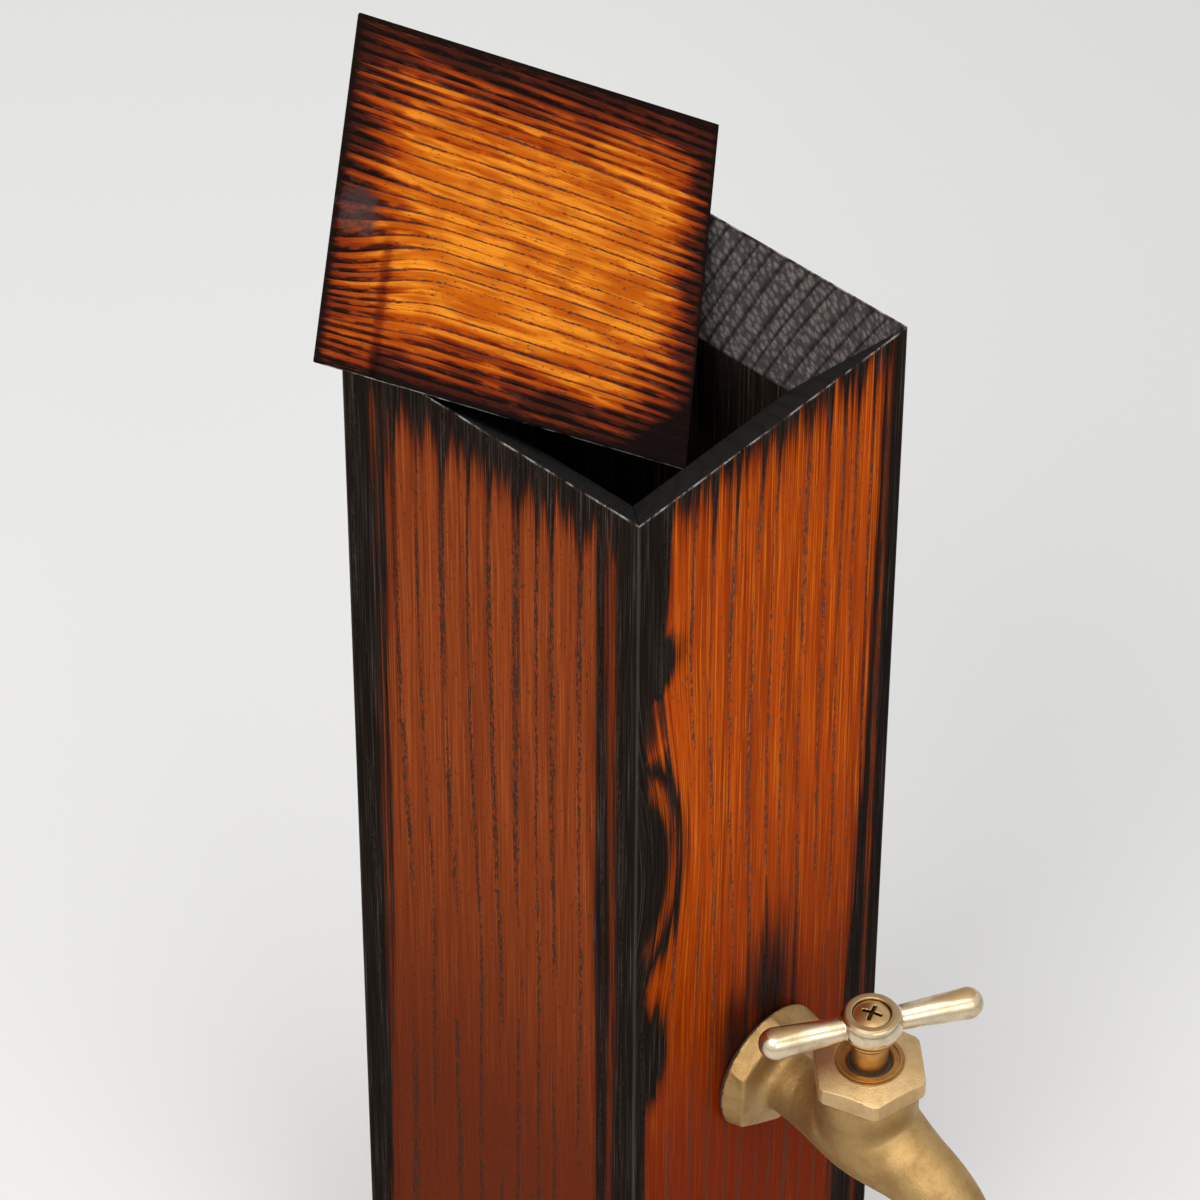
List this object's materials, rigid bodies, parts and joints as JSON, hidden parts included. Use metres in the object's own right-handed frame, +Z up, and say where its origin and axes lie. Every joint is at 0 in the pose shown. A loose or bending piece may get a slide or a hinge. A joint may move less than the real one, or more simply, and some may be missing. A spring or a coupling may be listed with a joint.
{
  "type": "oak cask liquor dispenser",
  "caption": "Tall square oak cask of mitred charred boards with a lift-out bevelled lid and a brass tap whose T handle screws the valve open.",
  "frame": {"origin": "on the table under the middle of the square tower, on the underside of the felt pad", "axes": "+Z up along the tower; the tap looks along -Y; +X points right when facing the tap"},
  "size_m": [0.1255, 0.2014, 0.4009],
  "materials": {
    "charred_oak": "scorched and oiled oak, black at the edges",
    "lid_oak": "scorched and glossy oiled oak, black at the edges",
    "inner_char": "charred oak",
    "plain_oak": "planed oak",
    "felt": "pressed felt",
    "cast_brass": "satin sand-cast",
    "turned_brass": "turned",
    "polished_brass": "polished",
    "fibre": "vulcanised fibre",
    "gasket": "soft rubber",
    "packing": "graphited packing"
  },
  "bodies": {
    "cask": {"front_board": "charred_oak", "rear_board": "charred_oak", "left_board": "charred_oak", "right_board": "charred_oak", "reservoir_floor": "inner_char", "base_board": "plain_oak", "base_pad": "felt", "tap_body": "cast_brass", "flange_washer": "fibre", "inner_gasket": "gasket", "inner_washer": "turned_brass", "shank_locknut": "turned_brass", "bonnet_nut": "cast_brass", "bonnet_gasket": "fibre", "stem_packing": "packing", "packing_gland": "turned_brass"},
    "jumper": {"seat_jumper": "turned_brass", "seat_washer": "gasket", "jumper_nut": "turned_brass"},
    "spindle": {"valve_stem": "turned_brass", "t_handle": "polished_brass", "handle_screw": "turned_brass"},
    "lid": {"lid_board": "lid_oak"}
  },
  "joints": [
    {"name": "lid_lift", "type": "slide", "parent": "cask", "child": "lid", "axis": [0, 0, 1], "range_m": [0, 0.12]},
    {"name": "stem_rise", "type": "slide", "parent": "cask", "child": "jumper", "axis": [0, 0, 1], "range_m": [0, 0.003]},
    {"name": "handle_turn", "type": "hinge", "parent": "jumper", "child": "spindle", "pos_m": [0.002, -0.07745, 0.1857], "axis": [0, 0, 1], "range_deg": [0, 540]}
  ],
  "couplings": [
    {"joint": "stem_rise", "follows": "handle_turn", "m_per_rad": 0.0003183}
  ]
}
